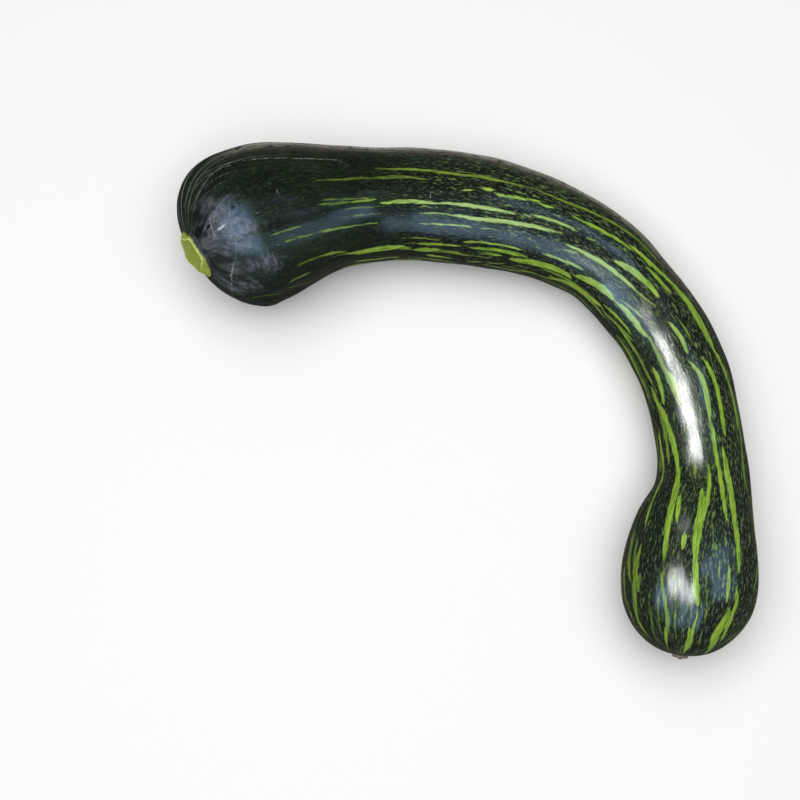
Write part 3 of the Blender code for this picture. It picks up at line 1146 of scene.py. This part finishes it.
@dataclass
class Fruit:
    """The hooked body with its marked skin."""

    form: FruitForm
    view: PhotoView
    finish: SkinFinish = SkinFinish()
    unseen: UnseenStreaks = UnseenStreaks()
    zones: SkinZones = SkinZones()
    sides: int = 384
    stem_rings: int = 62
    neck_rings: int = 152
    blossom_rings: int = 38
    straight_radius: float = 0.040
    deepest_mm: float = -4.0
    margin: float = 0.006
    taper: Range = (2.4, 0.6)
    bluntness: float = 0.4
    curve_degree: int = 3
    grid: dict[str, np.ndarray] = field(default_factory=dict)

    def lay_rings(self) -> None:
        """Places the rings along the route, close together on the rounded ends, and the sides round it."""
        form = self.form
        first = form.seat_distance(form.stem_seat_radius, far_end=False)
        last = form.seat_distance(form.blossom_seat_radius, far_end=True)
        widest = form.length - form.blossom_end_length
        counts = (self.stem_rings, self.blossom_rings)
        stem, blossom = (1 - np.cos(np.linspace(0, math.pi / 2, count)) for count in counts)
        stem = first + (form.stem_end_length - first) * stem
        blossom = last - (last - widest) * blossom
        neck = np.linspace(form.stem_end_length, widest, self.neck_rings + 2)[1:-1]
        rings = np.concatenate([stem, neck, blossom[::-1]])
        angles = np.arange(self.sides) * (2 * math.pi / self.sides)
        distance, angle = np.meshgrid(rings, angles, indexing="ij")
        self.grid = {"rings": rings, "distance": distance, "angle": angle}

    def shape(self) -> bmesh.types.BMesh:
        """Moves the poles and rings of a sphere onto the skin.

        Returns:
            The shape. The grid then holds each vertex's ring and side.
        """
        rings, distance, angle = (self.grid[name] for name in ("rings", "distance", "angle"))
        points = self.form.skin(distance.ravel(), angle.ravel()).reshape(*angle.shape, 3)
        ends = self.form.place(rings[[0, -1]])[0]
        work, ring, turned = unrolled_sphere(self.sides, len(rings))
        side = np.rint(turned / (2 * math.pi) * self.sides).astype(int) % self.sides
        self.grid["ring"], self.grid["side"] = np.clip(ring - 1, 0, len(rings) - 1), side
        places = points[self.grid["ring"], side]
        places[ring == 0], places[ring == len(rings) + 1] = ends
        move_vertices(work, places)
        return work

    def paint(self, mesh: bpy.types.Mesh, name: str, values: np.ndarray) -> None:
        """Stores a grid of numbers or vectors as an attribute of the mesh's vertices."""
        paint(mesh, name, values[self.grid["ring"], self.grid["side"]])

    def merge(self, inside: np.ndarray, strength: np.ndarray, rows: np.ndarray, depth: np.ndarray,
              tone: float) -> None:
        """Takes over a mark's depth and strength wherever it lies deeper than those before it.

        Args:
            inside: the depths so far, which it changes.
            strength: the strengths so far, which it changes.
            rows: the rings that the mark touches.
            depth: the mark's depth on those rings, in millimetres.
            tone: the mark's strength.
        """
        better = depth > inside[rows]
        inside[rows] = np.where(better, depth, inside[rows])
        strength[rows] = np.where(better, tone, strength[rows])

    def turn(self, rows: np.ndarray, towards: np.ndarray) -> np.ndarray:
        """The arc from some angles to each side of some rings, in metres."""
        turn = (self.grid["angle"][rows] - towards + math.pi) % (2 * math.pi) - math.pi
        return turn * self.form.radius(self.grid["rings"][rows])[:, None]

    def lay_streaks(self, marks: list[SkinMark]) -> tuple[np.ndarray, np.ndarray]:
        """Lays long tapered streaks on the grid.

        Args:
            marks: the streaks.

        Returns:
            How far inside a streak each place lies, in millimetres, and that streak's strength.
        """
        rings = self.grid["rings"]
        inside = np.full(self.grid["angle"].shape, self.deepest_mm)
        strength = np.zeros_like(inside)
        for mark in marks:
            first, last = mark.distance.min(), mark.distance.max()
            rows = np.flatnonzero((rings > first - self.margin) & (rings < last + self.margin))
            middle = (first + last) / 2
            degree = min(len(mark.distance) - 1, self.curve_degree)
            curve = np.polyfit(mark.distance - middle, mark.angle, degree)
            at = np.clip(rings[rows], first, last)
            share = (at - first) / (last - first)
            half = mark.half_width * (1 - np.abs(2 * share - 1) ** self.taper[0]) ** self.taper[1]
            across = np.abs(self.turn(rows, np.polyval(curve, at - middle)[:, None]))
            depth = 1000 * (half[:, None] - across - self.bluntness * np.abs(rings[rows] - at)[:, None])
            self.merge(inside, strength, rows, depth, mark.strength)
        return inside, strength

    def lay_strokes(self, marks: list[SkinMark]) -> tuple[np.ndarray, np.ndarray]:
        """Lays round-ended strokes of any direction on the grid.

        Args:
            marks: the strokes.

        Returns:
            How far inside a stroke each place lies, in millimetres, and that stroke's strength.
        """
        rings = self.grid["rings"]
        inside = np.full(self.grid["angle"].shape, 2 * self.deepest_mm)
        strength = np.zeros_like(inside)
        for mark in marks:
            reach = mark.half_width + 2 * self.margin
            first, last = mark.distance.min() - reach, mark.distance.max() + reach
            rows = np.flatnonzero((rings > first) & (rings < last))
            radius = self.form.radius(rings[rows])[:, None]
            away = np.full((len(rows), self.sides), np.inf)
            for i in range(len(mark.distance) - 1):
                along = rings[rows][:, None] - mark.distance[i]
                around = self.turn(rows, mark.angle[i : i + 1])
                length = mark.distance[i + 1] - mark.distance[i]
                width = (mark.angle[i + 1] - mark.angle[i]) * radius
                share = np.clip((along * length + around * width) / (length**2 + width**2), 0, 1)
                away = np.minimum(away, np.hypot(along - share * length, around - share * width))
            self.merge(inside, strength, rows, 1000 * (mark.half_width - away), mark.strength)
        return inside, strength

    def marked(self) -> dict[str, np.ndarray]:
        """Lays all the marks on the grid.

        Returns:
            The grids of their depths and strengths, by the names of their attributes.
        """
        skin = SkinMap(self.form, self.view)
        seen = [skin.mark(streak) for streak in ARM_STREAKS + BEND_STREAKS + NECK_STREAKS + BULB_STREAKS]
        laid = {"streak": self.lay_streaks(seen + self.unseen.marks(self.form))}
        for name, strokes in (("scratch_and_glint", SCRATCHES_AND_GLINTS), ("stain", STAINS), ("bloom_and_sheen", BLOOMS_AND_SHEEN)):
            laid[name] = self.lay_strokes([skin.mark(stroke, along=False) for stroke in strokes])
        grids = {name: depth for name, (depth, _) in laid.items()}
        return grids | {name + "_tone": strength for name, (_, strength) in laid.items() if name != "bloom_and_sheen"}

    def build(self) -> bpy.types.Object:
        """Makes the fruit, marks its skin and puts it in the place of its solid.

        Returns:
            The piece.
        """
        self.lay_rings()
        piece = finished_piece(self.shape(), "squash_skin", self.finish.material())
        distance, angle = self.grid["distance"], self.grid["angle"]
        round_ = self.straight_radius
        straight = np.stack([round_ * np.cos(angle), round_ * np.sin(angle), distance], axis=2)
        grids = {"straight": straight, "rib_drift": self.form.rib_drift(distance)}
        for name, values in (grids | self.marked() | self.zones.masks(distance, angle)).items():
            self.paint(piece.data, name, values)
        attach(piece, "root")
        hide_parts("fruit")
        return piece


@dataclass(frozen=True)
class StemFinish:
    """The stub: dark at its foot, yellow-green up to a pale rim with a painted highlight, stronger on its
    upper side, with an olive fibrous cut face.
    """

    foot: Colour = (0.042, 0.042, 0.042, 1.0)
    foot_stain: Colour = (0.010, 0.009, 0.008, 1.0)
    flesh: Colour = (0.290, 0.370, 0.026, 1.0)
    rim_and_highlight: Colour = (0.640, 0.700, 0.230, 1.0)
    cut: Colour = (0.250, 0.340, 0.012, 1.0)
    fibre: Colour = (0.320, 0.390, 0.035, 1.0)
    bruise: Colour = (0.150, 0.170, 0.020, 1.0)
    roughness: float = 0.48
    line_grain: Grain = Grain((1500, 1500, 200))
    blotch_grain: Grain = Grain((300, 300, 300), 4.0)
    stain_edge: Range = (0.45, 0.62)
    flesh_edge: Range = (0.58, 0.86)
    rim_edge: Range = (0.78, 0.96)
    upper_side: Range = (-0.002, 0.006)
    fibre_edge: Range = (0.35, 0.65)
    bruise_edge: Range = (0.52, 0.75)
    cut_edge: Range = (0.30, 0.80)
    upper_share: Range = (0.25, 0.75)
    bruise_share: float = 0.7
    flesh_fray: float = 0.7
    line_fray: float = 0.3
    rim_fray: float = 0.25
    line_roughness: float = 0.3
    cut_roughness: float = 0.2
    line_bump: Range = (0.0005, 0.6)
    blotch_bump: Range = (0.0004, 0.4)

    def material(self) -> bpy.types.Material:
        """Makes the stub's material.

        Returns:
            The material.
        """
        graph = Graph("stem_flesh")
        place = graph.attribute("stem_place").outputs["Vector"]
        lines = graph.noise(place, self.line_grain)
        blotch = graph.noise(place, self.blotch_grain)
        rise = graph.number("rise")
        cut = graph.number("cut")
        foot = graph.mix(blotch.step(*self.stain_edge), self.foot, self.foot_stain)
        pale = rise + graph.number("bare") + blotch.stray(self.flesh_fray) + lines.stray(self.line_fray)
        colour = graph.mix(pale.step(*self.flesh_edge), foot, self.flesh)
        # Pale rim with a painted highlight, made stronger on the stub's upper side.
        upper = graph.part(place, "X").step(*self.upper_side)
        rim_and_highlight = (rise + blotch.stray(self.rim_fray)).step(*self.rim_edge)
        colour = graph.mix(rim_and_highlight * upper.line(*self.upper_share), colour, self.rim_and_highlight)
        cut_colour = graph.mix(lines.step(*self.fibre_edge), self.cut, self.fibre)
        cut_colour = graph.mix(blotch.step(*self.bruise_edge) * self.bruise_share, cut_colour, self.bruise)
        colour = graph.mix(cut.step(*self.cut_edge), colour, cut_colour)
        roughness = self.roughness + lines.stray(self.line_roughness) + cut * self.cut_roughness
        normal = graph.bump(blotch, *self.blotch_bump, graph.bump(lines, *self.line_bump))
        return graph.finish(colour, roughness, normal)


@dataclass
class StemStub:
    """The stem's foot: five ridges that flare onto the fruit, and a slanted, fibrous cut."""

    form: FruitForm
    finish: StemFinish = StemFinish()
    height: float = 0.0039
    cut_radius: float = 0.0118
    foot_radius: float = 0.0162
    flare_power: float = 1.3
    rim_rounding: float = 0.03
    rim_power: int = 12
    hollow_power: int = 6
    face_power: int = 14
    face_share: float = 0.97
    foot_share: float = 0.5
    ridge_share: float = 0.09
    first_ridge: float = math.radians(25)
    ripples: tuple[Ripple, ...] = (Ripple(0.012, 31, 2.0), Ripple(0.008, 53))
    cut_rough: Wave = Wave(0.00012, 4100.0, 0.0, 3.0, 5)
    slant: float = 0.06
    lean: float = 0.0010
    hollow: float = 0.0008
    gap: float = 0.0003
    bareness: float = 0.8
    rib_crest_highlight: float = math.radians(48)
    sides: int = 160
    wall_rings: int = 26
    cut_rings: int = 22

    def profile(self) -> np.ndarray:
        """Draws the stub's outline, from the foot's middle round to the cut's.

        Returns:
            Rows of the radius, the share of the height, and how far a ring belongs to the cut face.
        """
        rise = np.linspace(0, 1, self.wall_rings)
        radius = self.cut_radius + (self.foot_radius - self.cut_radius) * (1 - rise) ** self.flare_power
        radius *= 1 - self.rim_rounding * rise**self.rim_power
        wall = np.stack([radius, rise, np.zeros_like(rise)], axis=1)
        inner = np.linspace(1, 0, self.cut_rings + 1)[1:-1]
        dish = 1 - (self.hollow / self.height) * (1 - inner**self.hollow_power)
        cut = np.stack([self.cut_radius * self.face_share * inner, dish, 1 - inner**self.face_power], axis=1)
        return np.concatenate([[[self.foot_radius * self.foot_share, 0.0, 0.0]], wall, cut])

    def build(self) -> bpy.types.Object:
        """Makes the stub and puts it in the place of its solid.

        Returns:
            The piece.
        """
        middle, along, outward, up = self.form.seat(self.form.stem_seat_radius, far_end=False)
        profile = self.profile()
        rings = len(profile)
        work, ring, angle = unrolled_sphere(self.sides, rings)
        radius, share, cut = profile[np.clip(ring - 1, 0, rings - 1)].T
        wave = np.cos(self.form.lobes * (angle - self.first_ridge))
        ripple = sum(ripple.at(angle, share) for ripple in self.ripples)
        ridged = radius * (1 + self.ridge_share * wave + ripple)
        ridged[(ring == 0) | (ring == rings + 1)] = 0.0
        upward = ridged * np.cos(angle)
        sideways = ridged * np.sin(angle) + self.lean * share
        rough = self.cut_rough.at(ridged, angle) * cut
        height = self.gap + share * (self.height - self.slant * upward) + rough
        place = np.stack([upward, sideways, height], axis=1)
        move_vertices(work, middle + place @ np.stack([up, outward, -along]))
        piece = finished_piece(work, "stem_foot", self.finish.material())
        piece.data.set_sharp_from_angle(angle=self.rib_crest_highlight)
        bare = self.bareness * (1 - np.cos(angle))
        for name, values in (("stem_place", place), ("rise", share), ("cut", cut), ("bare", bare)):
            paint(piece.data, name, values)
        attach(piece, "root")
        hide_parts("stem_stub")
        return piece


@dataclass(frozen=True)
class CorkFinish:
    """The scar's dry cork: purplish brown, with tan cracks."""

    cork: Colour = (0.085, 0.045, 0.036, 1.0)
    tan: Colour = (0.330, 0.240, 0.140, 1.0)
    grain: Grain = Grain((1300, 1300, 1300), 0.0, 4.0)
    crack_edge: Range = (0.42, 0.66)
    roughness: float = 0.75
    crumb_roughness: float = 0.2
    bump: Range = (0.0004, 0.8)

    def material(self) -> bpy.types.Material:
        """Makes the scar's material.

        Returns:
            The material.
        """
        graph = Graph("scar_cork")
        grain = graph.noise(graph.node("ShaderNodeTexCoord").outputs["Object"], self.grain)
        colour = graph.mix(grain.step(*self.crack_edge), self.cork, self.tan)
        roughness = self.roughness + grain.stray(self.crumb_roughness)
        return graph.finish(colour, roughness, graph.bump(grain, *self.bump))


@dataclass
class BlossomScar:
    """The corky button at the blossom pole, with the nib of the old style in its middle."""

    form: FruitForm
    finish: CorkFinish = CorkFinish()
    radius: float = 0.0050
    height: float = 0.0016
    nib_radius: float = 0.0014
    nib_height: float = 0.0010
    nib_power: int = 4
    button_power: int = 5
    dish_depth: float = 0.25
    dish_middle: float = 0.34
    dish_width: float = 0.13
    crumples: tuple[Ripple, ...] = (Ripple(0.05, 7, 0.0, 1.0), Ripple(0.03, 13))
    crust: Ripple = Ripple(0.00008, 9, 30.0)
    gap: float = 0.0003
    sides: int = 72
    rings: int = 30

    def height_at(self, share: np.ndarray) -> np.ndarray:
        """Finds the height of the top: a rounded button, dished round its nib.

        Args:
            share: some shares of the radius.

        Returns:
            The height at each.
        """
        button = self.height * (1 - share**self.button_power) ** 0.5
        dish = self.dish_depth * self.height * np.exp(-(((share - self.dish_middle) / self.dish_width) ** 2))
        nib = self.nib_height * np.exp(-((share * self.radius / self.nib_radius) ** self.nib_power))
        return button - dish + nib

    def build(self) -> bpy.types.Object:
        """Makes the scar and puts it in the place of its solid.

        Returns:
            The piece.
        """
        middle, along, outward, up = self.form.seat(self.form.blossom_seat_radius, far_end=True)
        work, ring, angle = unrolled_sphere(self.sides, self.rings)
        share = 1 - (ring - 1) / self.rings
        inner = np.minimum(share, 1.0)
        crumple = 1 + sum(ripple.at(angle, share) for ripple in self.crumples)
        reach = np.where(ring == 0, 0.0, share * self.radius * crumple)
        top = np.where(ring == 0, 0.0, self.height_at(inner))
        height = self.gap + top + self.crust.at(angle, share) * inner
        place = np.stack([reach * np.cos(angle), reach * np.sin(angle), height], axis=1)
        move_vertices(work, middle + place @ np.stack([up, outward, along]))
        piece = finished_piece(work, "cork_scar", self.finish.material())
        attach(piece, "root")
        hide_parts("blossom_scar")
        return piece


class Reach(Enum):
    """What a lamp acts on: the soft shading of all surfaces, or only their shine."""

    SHADING = "shading"
    SHINE = "shine"


@dataclass(frozen=True)
class Lamp:
    """A rectangular soft light, which a grid can narrow to a beam of some degrees."""

    name: str
    place: Point
    aim: Point
    size: tuple[float, float]
    power: float
    beam: float = 180.0
    colour: tuple[float, float, float] = (1.0, 1.0, 1.0)
    reach: Reach = Reach.SHINE

    def make(self) -> bpy.types.Object:
        """Puts the light in the scene.

        Returns:
            The light.
        """
        data = bpy.data.lights.new(self.name, "AREA")
        data.shape = "RECTANGLE"
        data.size, data.size_y = self.size
        data.energy = self.power
        data.color = self.colour
        data.spread = math.radians(self.beam)
        lamp = bpy.data.objects.new(self.name, data)
        lamp.location = self.place
        lamp.rotation_mode = "QUATERNION"
        lamp.rotation_quaternion = (Vector(self.aim) - Vector(self.place)).to_track_quat("-Z", "Y")
        lamp.visible_camera = False
        lamp.visible_diffuse = self.reach is Reach.SHADING
        lamp.visible_glossy = self.reach is Reach.SHINE
        bpy.context.scene.collection.objects.link(lamp)
        return lamp


# The places on the fruit that the lamps are turned to.
TOP_ARM = (0.00, 0.125, 0.07)
STEM_NECK = (-0.067, 0.113, 0.08)
SHORT_ARM_TOP, SHORT_ARM_MIDDLE = (0.131, 0.018, 0.062), (0.142, -0.010, 0.062)
SHORT_ARM_LOW = (0.148, -0.032, 0.061)
STEM_BULB, BLOSSOM_BULB = (-0.14, 0.11, 0.10), (0.135, -0.115, 0.08)
BEND = (0.09, 0.08, 0.06)
GROUND_MIDDLE = (0.0, 0.0, 0.0)

STRIP = (0.16, 0.16)
SKY = (0.45, 0.65, 1.0)


@dataclass(frozen=True)
class Studio:
    """A pale floor under a soft overhead light, panels that the wax mirrors, and a dim surrounding."""

    floor_half: float = 4.0
    floor_colour: Colour = (0.90, 0.90, 0.90, 1.0)
    floor_roughness: float = 0.9
    floor_grain: Grain = Grain((400, 400, 400))
    floor_bump: Range = (0.0001, 0.2)
    surround: Colour = (1.0, 0.94, 0.84, 1.0)
    surround_strength: float = 0.10
    overhead: Lamp = Lamp(
        "overhead", (-0.10, -0.10, 1.90), GROUND_MIDDLE, (2.4, 2.4), 54.0, reach=Reach.SHADING
    )
    panels: tuple[Lamp, ...] = (
        Lamp("strip_left", (-0.292, 0.048, 0.600), SHORT_ARM_TOP, STRIP, 0.038, 15),
        Lamp("strip_middle", (-0.196, 0.102, 0.600), SHORT_ARM_MIDDLE, STRIP, 0.034, 13),
        Lamp("strip_low", (0.100, 0.003, 0.165), SHORT_ARM_LOW, (0.05, 0.05), 0.019, 48),
        Lamp("spot", (0.049, -0.159, 0.259), BLOSSOM_BULB, (0.17, 0.09), 0.17, 80),
        Lamp("bend_sky", (-0.50, -0.45, 1.60), BEND, (0.80, 0.60), 5.0, colour=SKY),
        Lamp("north_sky", (0.345, 0.106, 0.592), SHORT_ARM_MIDDLE, (0.32, 0.32), 0.038, 24, SKY),
        Lamp("south_sky", (-0.12, -1.40, 1.10), TOP_ARM, (1.05, 1.2), 13.0, colour=SKY),
        Lamp("east_sky", (0.325, -0.125, 0.255), BLOSSOM_BULB, (0.24, 0.20), 0.15, 100, SKY),
        Lamp("arm_sky", (0.190, -0.045, 0.389), STEM_NECK, (0.15, 0.15), 0.013, 40, SKY),
        Lamp("west_sky", (-0.62, -0.35, 0.60), STEM_BULB, (0.50, 0.60), 0.95, 60, SKY),
    )

    def lay_floor(self) -> bpy.types.Object:
        """Lays the pale floor.

        Returns:
            The floor.
        """
        graph = Graph("floor_paper")
        tooth = graph.noise(graph.node("ShaderNodeTexCoord").outputs["Object"], self.floor_grain)
        normal = graph.bump(tooth, *self.floor_bump)
        paper = graph.finish(self.floor_colour, self.floor_roughness, normal, Specular_IOR_Level=0.0)
        work = bmesh.new()
        bmesh.ops.create_grid(work, x_segments=1, y_segments=1, size=self.floor_half)
        floor = finished_piece(work, "floor", paper)
        floor.visible_glossy = False
        return floor

    def make(self) -> None:
        """Lays the floor, and makes the surrounding and the lamps."""
        self.lay_floor()
        world = bpy.data.worlds.new("surround")
        world.use_nodes = True
        background = world.node_tree.nodes["Background"]
        background.inputs["Color"].default_value = self.surround
        background.inputs["Strength"].default_value = self.surround_strength
        bpy.context.scene.world = world
        for lamp in (self.overhead, *self.panels):
            lamp.make()


def main() -> None:
    """Builds the camera, the studio and the squash, and reports each piece."""
    logging.basicConfig(level=logging.INFO, format="%(name)s: %(message)s")
    bpy.context.scene.view_settings.view_transform = "Standard"
    view = PhotoView()
    view.make()
    Studio().make()
    form = FruitForm()
    for maker in (Fruit(form, view), StemStub(form), BlossomScar(form)):
        piece = maker.build()
        LOG.info("%s: %d faces", piece.name, len(piece.data.polygons))


if __name__ == "__main__":
    main()
